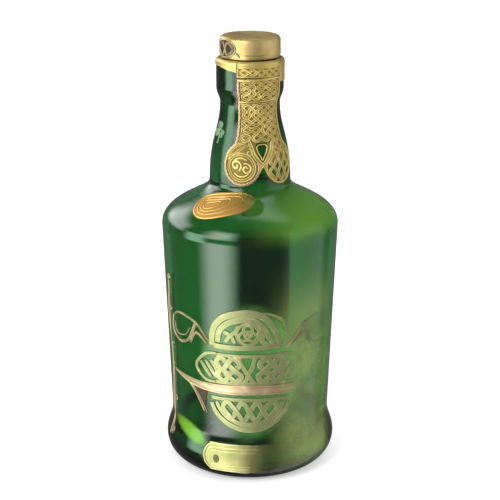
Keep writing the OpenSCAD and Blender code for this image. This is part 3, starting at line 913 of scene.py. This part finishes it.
def strap_drop(strap):
    """Rim of the drop-shaped window."""
    w, low, high = strap.window_half, strap.lobe_z + 3.4, strap.window_high
    side = [(0, low), (0.34 * w, low + 1.9), (0.78 * w, low + 4.2), (w, low + 6.6), (0.98 * w, high - 1.8),
            (0.66 * w, high - 0.6), (0, high - 0.4)]
    rim = np.vstack([side, mirrored(side[-2:0:-1])])
    return relief("strap_window_rim", [Strand(rim, 0.65, 0.6, closed=True)], strap.turn)


def strap_left_scroll(strap):
    """A ring that holds two curls in the left lobe, with leaves above it."""
    s, z, r = -strap.lobe_s, strap.lobe_z, strap.lobe_r
    parts = [
        Strand(oval(s, z, r - 2.3, r - 2.3, 18), 1.7, 0.6, RIMMED, closed=True),
        Strand(spiral(s - 2.6, z + 0.9, 2.9, 1.3, 16, -60, 1), 1.6, 0.66, ROUND),
        Strand(spiral(s + 2.6, z - 0.7, 2.9, 1.3, 16, 120, -1), 1.6, 0.66, ROUND),
        Strand(oval(s, z, r - 4.2, r - 4.2, 10, 50, 140), 1.1, 0.55),
        Strand(oval(s, z, r - 4.2, r - 4.2, 10, 220, 320), 1.1, 0.55),
        Strand([(s - 7, z + 3.4), (s - 4.6, z + 8), (s - 1, z + 11), (s + 3.4, z + 12.4)], 1.3,
               0.55, RIMMED),
        Strand([(s - 5.8, z + 5.2), (s - 1.4, z + 7.8), (s + 2.4, z + 10.4), (s + 5.6, z + 11)], 1.2,
               0.55, RIMMED),
        Strand(spiral(s + 4.4, z + 7.4, 1.9, 1.2, 12, 100, -1), 0.8, 0.55)]
    return relief("strap_left_scroll", parts, strap.turn)


def strap_right_scroll(strap):
    """An open round knot in the right lobe, with a lattice above it."""
    s, z, r = strap.lobe_s, strap.lobe_z, strap.lobe_r
    knot = plait(round_panel(s, z, r - 1.2, r - 1.2), 3, 2, 1.6, 0.55, turned={(3, 2): "v"})
    above = upright(z + 6.4, z + 12.6, lambda v: 3.6)
    lattice = plait(lambda u, v: (above(u, v)[0] + s - 0.5 - 2.5 * v, above(u, v)[1]), 2, 2, 1.2, 0.5)
    return relief("strap_right_scroll", [*knot, *lattice], strap.turn)


# ---- Seals and small ornaments ----

def shoulder_seal():
    """A long plate on the shoulder, round at its ends, with concentric rings."""
    points = cad_points("shoulder_seal")
    middle = (points.min(0) + points.max(0)) / 2
    upper = glass_skin.z > points[:, 2].min() - 5
    radii, heights = glass_skin.r[upper][::-1], glass_skin.z[upper][::-1]

    def lay(a, b, lift, turn):
        x, y = middle[0] + a, middle[1] + b
        r = np.hypot(x, y)
        return glass_skin.lay(np.arctan2(x, -y) * r, np.interp(r, radii, heights), lift, turn)

    def near_end(share):
        """The outline shrunk towards the seal's broad left end."""
        return [(share * a - 8.6 * (1 - share), share * b + 2.2 * (1 - share)) for a, b in edge]

    front = [(-15.4, 2.6), (-14.2, -2.4), (-10.6, -5.8), (-5, -7.6), (2, -8.0), (9, -6.8), (13, -3.4)]
    back = [(15.2, 0.8), (12.6, 2.8), (8, 4.0), (2, 5.6), (-4, 8.4), (-9, 10.2), (-13.2, 8)]
    edge = front + back
    front_side = spline(front + back[:1], 4)
    back_side = spline([front[0]] + back[::-1], 4)
    parts = [Plate(front_side, back_side, 0.26, crest=0.55, columns=25),
             Strand(edge, 1.4, 0.62, closed=True)]
    for share, width in ((0.74, 1.0), (0.5, 0.9), (0.28, 0.8)):
        parts.append(Strand(near_end(share), width, 0.55, closed=True))
    return relief("shoulder_seal_plate", parts, lay=lay)


def base_seal():
    """A long plate with round ends and concentric ridges, on the bell."""
    seal = Place("base_seal")
    h = (seal.high - seal.low) / 2 - 0.7
    end = seal.half - 0.7 - h
    rows = np.radians(np.linspace(-86, 86, 22))
    edge = np.stack([-end - h * np.cos(rows), seal.mid + h * np.sin(rows)], -1)
    parts = [Plate(edge, mirrored(edge), 0.3, crest=0.55, columns=25),
             disc(-end + 0.2, seal.mid - 0.6, 1.7, 2.2, 9, top=0.4, crest=0.0)]
    for k in range(3):
        q = h - 1.7 * k
        ends = oval(-end, seal.mid, q, q, 10, 90, 270), oval(end, seal.mid, q, q, 10, -90, 90)
        parts.append(Strand(np.vstack(ends), 1.1 - 0.1 * k, 0.5, closed=True, per_span=8))
    return relief("base_seal_plate", parts, seal.turn)


def clover_sprig():
    """Three heart-shaped leaves and a stem."""
    sprig = Place("clover_sprig")
    middle = sprig.high - 4.5
    parts = []
    for a in (90, 210, 330):
        t = radians(a)
        heart = [(0.3, 0), (1.6, 1.3), (3.1, 1.8), (4.1, 1.1), (3.6, 0), (4.1, -1.1), (3.1, -1.8),
                 (1.6, -1.3)]
        path = [(x * cos(t) - y * sin(t), middle + x * sin(t) + y * cos(t)) for x, y in heart]
        parts.append(Strand(path, 0.55, 0.55, closed=True))
        parts.append(disc(2.6 * cos(t), middle + 2.6 * sin(t), 1.3, 1.3, 7, top=0.16, crest=0.3))
    stem = [(0, middle), (0.5, middle - 2.4), (0.8, middle - 4.6), (0.2, sprig.low + 0.4)]
    parts.append(Strand(stem, [0.5, 0.9], 0.5))
    return relief("clover_leaves", parts, sprig.turn)


def vine(name, node, hand):
    """A thin stem that wanders as it climbs, with a tendril round it and small curls."""
    stem = Place(node)
    low, high = stem.low + 0.8, stem.high - 4.2
    n = 46
    parts = []
    for k, width, reach in ((1, 0.75, 0.7), (-1, 0.5, 1.6)):
        path = []
        for i in range(n + 1):
            climb = i / n
            sway = 1.5 * sin(9.5 * climb + 0.4) + k * reach * cos(7.5 * climb * (1.4 - 0.5 * climb))
            path.append((hand * sway * 0.8, low + (high - low) * climb, 0.1 + 0.1 * k * cos(15 * climb)))
        parts.append(Strand(path, [width, 1.2 * width, 0.8 * width], 0.45, per_span=3))
    for i, z in enumerate((0.03, 0.24, 0.47, 0.6, 0.83)):
        inward = -hand * (2.2 if i % 2 else 1.2)
        curl = spiral(inward, low + (high - low) * z, 1.6 + 0.4 * (i % 2), 0.9, 12, 90 + 70 * i, hand)
        parts.append(Strand(curl, 0.5, 0.4))
    parts.append(Strand(spiral(-hand * 0.6, high + 1.7, 2.0, 1.2, 14, 0, 1), 0.65, 0.45))
    return relief(name, parts, stem.turn)


# ---- Emblem ----

def rail(half, z, width):
    """A level flat bar across the emblem."""
    return Strand([(half * k / 4, z) for k in range(-4, 5)], width, 0.56, FLAT)


def dome():
    """The domed panel: broad bands round a rosette, with a lens-shaped gap on the right."""
    place = Place("emblem_dome")
    w, low, high = place.half - 1.0, place.low + 1.2, place.high - 1.2
    h = high - low

    def on(*spots):
        return [(x * w, low + y * h) for x, y in spots]

    outline = on((-0.96, 0.02), (-0.95, 0.4), (-0.83, 0.68), (-0.57, 0.9), (-0.1, 1), (0.21, 0.95),
                 (0.45, 0.76), (0.63, 0.46), (0.74, 0.1))
    inner = on((-0.8, 0.14), (-0.78, 0.42), (-0.64, 0.62), (-0.42, 0.76), (-0.08, 0.83), (0.14, 0.76),
               (0.32, 0.58), (0.46, 0.34), (0.56, 0.12))
    crescent = on((0.16, 1), (0.5, 0.95), (0.8, 0.76), (0.94, 0.45), (0.9, 0.2), (0.78, 0.06))
    leaves = [on((-0.62, 0.16), (-0.5, 0.34), (-0.34, 0.5), (-0.3, 0.66)),
              on((-0.36, 0.14), (-0.48, 0.36), (-0.66, 0.46)),
              on((0.2, 0.66), (0.34, 0.5), (0.3, 0.3), (0.36, 0.12)),
              on((0.46, 0.1), (0.26, 0.26), (0.22, 0.48), (0.36, 0.6))]
    parts = [Strand(outline, [3.4, 3.8, 2.4], 0.6, FLAT, per_span=8),
             Strand(inner, [3.2, 3.6, 2.0], 0.5, FLAT, per_span=8),
             Strand(crescent, [0.8, 2.1, 1.0], 0.56, FLAT, per_span=8),
             Strand(on((-0.96, 0.04), (-0.5, 0.02), (0, 0.03), (0.4, 0.04), (0.76, 0.07)), 2.9, 0.56, FLAT)]
    for k, leaf in enumerate(leaves):
        parts.append(Strand([(*p, 0.12 * (1 + sin(pi * i / 2 + k))) for i, p in enumerate(leaf)],
                            [1.6, 2.4, 1.5], 0.5, FLAT))
    return relief("emblem_dome_knot", parts)


def rosette():
    """A ring round a knot with three loops."""
    place = Place("emblem_rosette")
    r = (place.high - place.low) / 2 - 0.8
    parts = [Strand(oval(-1, place.mid, r, r, 18), 1.7, 0.62, FLAT, closed=True),
             Strand(trefoil(-1, place.mid, r - 0.6), 1.5, 0.45, FLAT, closed=True),
             disc(-1, place.mid, 1.0, 1.0, 7, top=0.5, crest=0.8)]
    return relief("emblem_rosette_knot", parts)


def lattice():
    """Knotwork between the dome and the belt, with a loop of slanted bars at each side."""
    place = Place("emblem_lattice")
    low, high = place.low + 0.9, place.high - 0.9
    h = high - low
    parts = []
    for hand in (-1, 1):
        def spot(u, v):
            return hand * (11 + 6.4 * u - 1.6 * (0.5 - v)), low + 1.2 + v * (h - 2.4)
        turned = {(2, 1): "h", (3, 2): "v"} if hand < 0 else {(2, 3): "v"}
        parts += plait(spot, 2, 2, 2.9, 0.5, section=FLAT, turned=turned)
        loop = [(hand * 17, high + 0.4), (hand * 22.5, high), (hand * 27, low + 0.76 * h),
                (hand * 29.4, low + 0.5 * h), (hand * 27.6, low + 0.24 * h), (hand * 23, low + 0.3),
                (hand * 18, low)]
        parts.append(Strand(loop, [1.6, 1.7, 1.5], 0.6, FLAT))
        for k in range(4):
            s = hand * (26.8 - 3.1 * k)
            bar = [(s, low + 0.66 * h + 0.9 * k), (s - hand * 3, low + 0.42 * h + 0.5 * k),
                   (s - hand * 6.4, low + 0.14 * h)]
            parts.append(Strand(bar, [1.3, 2.3, 1.3], 0.46, FLAT))
    arms = (((-5.8, high - 0.2), (-3.4, low + 0.6 * h), (-1.2, low + 5.6)),
            ((2.8, high - 0.2), (1.2, low + 0.6 * h), (-0.8, low + 5.6)),
            ((-1, low + 6.2), (-1.6, low + 2.8), (-3.2, low + 0.4)),
            ((-1, low + 6.2), (0.4, low + 2.8), (2.4, low + 0.4)))
    parts += [Strand(arm, [2.0, 2.4], 0.56, FLAT) for arm in arms]
    parts += [rail(17.6, high, 1.9), rail(18, low + 0.2, 2.1)]
    return relief("emblem_lattice_knot", parts)


def belt():
    """A crowned belt whose pointed ends sweep up, with a wire and a web below its left end."""
    place = Place("emblem_belt")
    half = place.half - 0.6
    middle = place.low + 3.0

    def height(q):
        return middle + 0.8 * max(0.0, 1 - (q / 0.5) ** 2) + 3.1 * max(0.0, abs(q) - 0.25) ** 1.6 / 0.63

    steps = np.linspace(-1, 1, 25)
    line = [(half * q, height(q)) for q in steps]
    width = [4.9 * (1 - abs(q) ** 2.4) + 0.5 for q in steps]
    wire = [(-0.97 * half, height(0.97) - 0.4), (-38.5, middle + 1.4), (-33.5, middle - 1.2),
            (-29, middle - 6.6), (-24.8, middle - 14)]
    web = [(half * q, height(q) - 0.3) for q in (-0.97, -0.8, -0.68, -0.56, -0.46)]
    parts = [Strand(line, width, 0.74, CROWNED, per_span=6), Strand(wire, 0.8, 0.6),
             Strand([(s + 1.8, z - 0.6) for s, z in wire[1:]], 0.5, 0.5),
             Plate(spline(wire, 3), spline(web, 3), 0.12, crest=0.0)]
    return relief("emblem_belt_band", parts)


def bowl():
    """The bowl under the belt: a broad double rim, a rail and a row of leaves."""
    place = Place("emblem_bowl")
    w, low, high = place.half - 1.4, place.low + 1.4, place.high - 1.0
    h = high - low

    def arc(wide, deep, rounding):
        """A line that sags from one side of the rail to the other."""
        turns = np.radians(range(180, -1, -12))
        return [(wide * w * cos(a), high - deep * h * sin(a) ** rounding) for a in turns[1:-1]]

    parts = [Strand(arc(1, 1, 1.1), [2.4, 3.2, 2.4], 0.6, FLAT, per_span=6),
             Strand(arc(0.86, 0.83, 1.15), [2.2, 3.0, 2.2], 0.52, FLAT, per_span=6),
             rail(w, high - 0.2, 2.0)]

    def spot(u, v):
        return u * (0.6 + 0.14 * v) * w, high - 1.6 - (1 - v) * (0.62 * h) * (1 - 0.35 * u * u)
    parts += plait(spot, 4, 1, 2.6, 0.5, section=FLAT)
    parts.append(Strand(spiral(0.95 * w, high - 3.4, 2.4, 0.8, 10, 110, -1), 0.9, 0.5))
    return relief("emblem_bowl_knot", parts)


def side_loop(name, node, hand):
    """A drop-shaped loop that crosses itself and runs on into the dome's foot."""
    place = Place(node)
    low, high = place.low + 0.6, place.high - 0.6
    h = high - low
    middle = abs(radians(place.turn)) * glass_skin.radius(place.mid)
    near, far = middle - place.half + 1, middle + place.half - 0.7

    def at(s, share):
        return s, low + share * h

    line = [at(near - 5.4, 0.1), at(near, 0.5), at(near + 5, 0.84), at(near + 12, 0.98),
            at(far - 7, 1), at(far - 1.6, 0.84), at(far, 0.52), at(far - 1.2, 0.2),
            at(far - 5.4, 0.02), at(far - 10, 0), at(near + 10, 0.18), at(near + 7.4, 0.5),
            at(near + 5, 0.86)]
    inner = [at(far - 2.4, 0.6), at(far - 3.2, 0.32), at(far - 6.6, 0.2), at(near + 12.4, 0.3),
             at(near + 9.4, 0.6)]
    under = [at(near + 9, 0.06), at(near + 4.8, 0.5), at(near - 2, 0.16)]
    if hand < 0:
        line, inner, under = (mirrored(path) for path in (line, inner, under))
    parts = [Strand(line, [1.0, 1.1, 0.9, 1.3, 1.7], 0.6, RIMMED),
             Strand(inner, 0.55, 0.5, pointed=True), Strand(under, [0.9, 1.4, 0.8], 0.5, RIMMED)]
    return relief(name, parts)


def cap_medallion():
    """An oval knot on the side of the cap, with a raised border that runs over its top edge."""
    low, high = cad_corners("cap_medallion")
    outline = turned_outline("gilt_cap", reach=0.25)
    outer = outline[(outline[:, 0] > 9) & (np.arange(len(outline)) < np.argmin(outline[:, 1]))]
    heights, first = np.unique(outer[:, 1].round(4), return_index=True)
    skin = Skin(np.stack([outer[first, 0], heights], -1))
    points = cad_points("cap_medallion")
    angle = np.degrees(np.arctan2(points[:, 0], -points[:, 1]))
    middle, h = (low.z + high.z) / 2 + 0.5, (high.z - low.z) / 2 + 0.7
    parts = [disc(0, middle, 6.2, h, 18, top=0.12, bottom=-0.3, crest=0.0),
             Strand(oval(0, middle, 6.4, h, 20), 0.9, 0.42, closed=True),
             Strand([(6, middle - 1.4), (8, middle - 3), (8.6, middle - 4)], 0.8, 0.42),
             *plait(round_panel(0, middle, 5.2, h - 0.9), 2, 1, 1.0, 0.32, 0.1)]
    return relief("cap_medallion_knot", parts, (angle.min() + angle.max()) / 2, skin.lay)


# ---- Assembly ----

def fit(piece, node, finish, body="bottle"):
    """Gives a piece its finish, and puts it in the place of a CAD node."""
    piece.data.materials.append(finish)
    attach(piece, body)
    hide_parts(node)


strap = StrapShape()
strap_gold = gilding("strap_gilding", (0.66, 0.51, 0.16), (0.2, 0.15, 0.035), 0.3)
emblem_gold = gilding("emblem_gilding", (0.36, 0.375, 0.165), (0.15, 0.19, 0.06), 0.38, (6, 34), 0.88)
belt_gold = gilding("belt_gilding", (0.62, 0.46, 0.27), (0.05, 0.026, 0.013), 0.3, (8, 30))
seal_gold = gilding("base_seal_gilding", (0.62, 0.58, 0.23), (0.1, 0.12, 0.03), 0.34, (-12, 14))
shoulder_gold = gilding("shoulder_seal_gilding", (0.78, 0.46, 0.12), (0.5, 0.26, 0.05), 0.32, (-16, 4))
vine_gold = gilding("vine_gilding", (0.48, 0.4, 0.22), (0.14, 0.08, 0.03), 0.3, (16, 38))
crease_shadow_z = cad_corners("gilt_cap")[0].z + 2.2
cap_gold = foil("cap_gilding", (0.42, 0.3, 0.1), (0.66, 0.52, 0.22), 0.75, crease_shadow_z)
medallion_gold = gilding("medallion_gilding", (0.46, 0.34, 0.2), (0.03, 0.017, 0.007), 0.32)

fit(bottle(), "glass_bottle", green_glass())
collar_gold = foil("collar_foil", (0.4, 0.28, 0.08), (0.6, 0.45, 0.17), 0.7)
fit(collar_foil(Place("strap_head")), "collar_foil", collar_gold)
fit(strap_head(), "strap_head", strap_gold)
for make, node in ((strap_frame, "strap_frame"), (strap_upper_knot, "strap_knot_upper"),
                   (strap_lower_knot, "strap_knot_lower"), (strap_drop, "strap_drop"),
                   (strap_left_scroll, "strap_scroll_left"),
                   (strap_right_scroll, "strap_scroll_right")):
    fit(make(strap), node, strap_gold)
fit(shoulder_seal(), "shoulder_seal", shoulder_gold)
fit(base_seal(), "base_seal", seal_gold)
fit(clover_sprig(), "clover_sprig", clover_enamel())
for make, node in ((dome, "emblem_dome"), (rosette, "emblem_rosette"),
                   (lattice, "emblem_lattice"), (bowl, "emblem_bowl")):
    fit(make(), node, emblem_gold)
fit(belt(), "emblem_belt", belt_gold)
for side, hand in (("left", -1), ("right", 1)):
    loop, stem = f"loop_{side}", f"vine_{side}"
    fit(side_loop(f"{side}_loop_wire", loop, hand), loop, vine_gold)
    fit(vine(f"{side}_vine_tendrils", stem, hand), stem, vine_gold)
fit(stopper_cork(), "cork_shank", cork(), "stopper")
fit(stopper_core(), "stopper_core", turned_wood(), "stopper")
fit(stopper_cap(), "gilt_cap", cap_gold, "stopper")
fit(cap_medallion(), "cap_medallion", medallion_gold, "stopper")


# ---- Stage ----

def panel_of_light(name, place, aim, width, height, power):
    """A soft rectangular light."""
    light = bpy.data.lights.new(name, "AREA")
    light.shape, light.size, light.size_y, light.energy = "RECTANGLE", width, height, power
    lamp = bpy.data.objects.new(name, light)
    lamp.location = place
    lamp.rotation_euler = (Vector(aim) - Vector(place)).to_track_quat("-Z", "Y").to_euler()
    lamp.visible_camera = False
    lamp.visible_glossy = False
    bpy.context.scene.collection.objects.link(lamp)


def floor_sheet():
    """A pale floor that curves up behind the object."""
    size, bend, curve = 3, 0.7, 0.6
    arc = [(bend + curve * sin(a), curve - curve * cos(a)) for a in np.radians(range(10, 90, 10))]
    profile = [(-size, 0), (bend, 0), *arc, (bend + curve, curve), (bend + curve, size)]
    points = [(x, y, z) for y, z in profile for x in (-size, size)]
    faces = [[2 * i, 2 * i + 1, 2 * i + 3, 2 * i + 2] for i in range(len(profile) - 1)]
    sheet = mesh_piece("floor_sheet", points, faces)
    sheet.data.materials.append(pale_floor())
    sheet.visible_glossy = False


def dark_card():
    """A dark card with soft edges behind the bottle, seen only through the glass: painted shade that darkens
    the middle of the glass.
    """
    left, right, back, low, high = -14, 26.5, 70, 45, 118
    corners = [(left, back, low), (right, back, low), (right, back, high), (left, back, high)]
    card = mesh_piece("dark_card", np.array(corners) * MM, [[0, 1, 2, 3]])
    felt = Finish("dark_felt")
    x, z = felt.place("X"), felt.place("Z")
    fibre = felt.noise(300, 3)
    sides = x.ramp(left, left + 10) * x.ramp(right, right - 2)
    ends = z.ramp(low, low + 13) * z.ramp(high - 5, high - 19)
    felt.shade(base_color=felt.blend(fibre, (0.03, 0.034, 0.03), (0.05, 0.056, 0.05)), roughness=0.9,
               alpha=sides * ends)
    card.data.materials.append(felt.material)
    card.visible_camera = card.visible_glossy = card.visible_diffuse = card.visible_shadow = False


floor_sheet()
dark_card()
bpy.context.scene.world = studio()
bpy.context.scene.view_settings.view_transform = "Standard"

lamp_aim = (0, 0, 0.12)
panel_of_light("key_light", (-0.7, -0.9, 0.9), lamp_aim, 0.5, 0.5, 9)
panel_of_light("right_light", (0.9, -0.5, 0.5), lamp_aim, 0.5, 0.9, 4)

# Where the camera stands and aims, as shares of the bottle's height
camera_back, camera_up, aim_up = 2.928, 1.4366, 0.5024
camera = bpy.data.objects.new("camera", bpy.data.cameras.new("camera"))
bpy.context.scene.collection.objects.link(camera)
bpy.context.scene.camera = camera
bottle_height = cad_box[1].z
camera.location = (0, -camera_back * bottle_height, camera_up * bottle_height)
sight = Vector((0, 0, aim_up * bottle_height)) - camera.location
camera.rotation_euler = sight.to_track_quat("-Z", "Y").to_euler()
camera.data.sensor_width = 36
camera.data.lens = 95.7
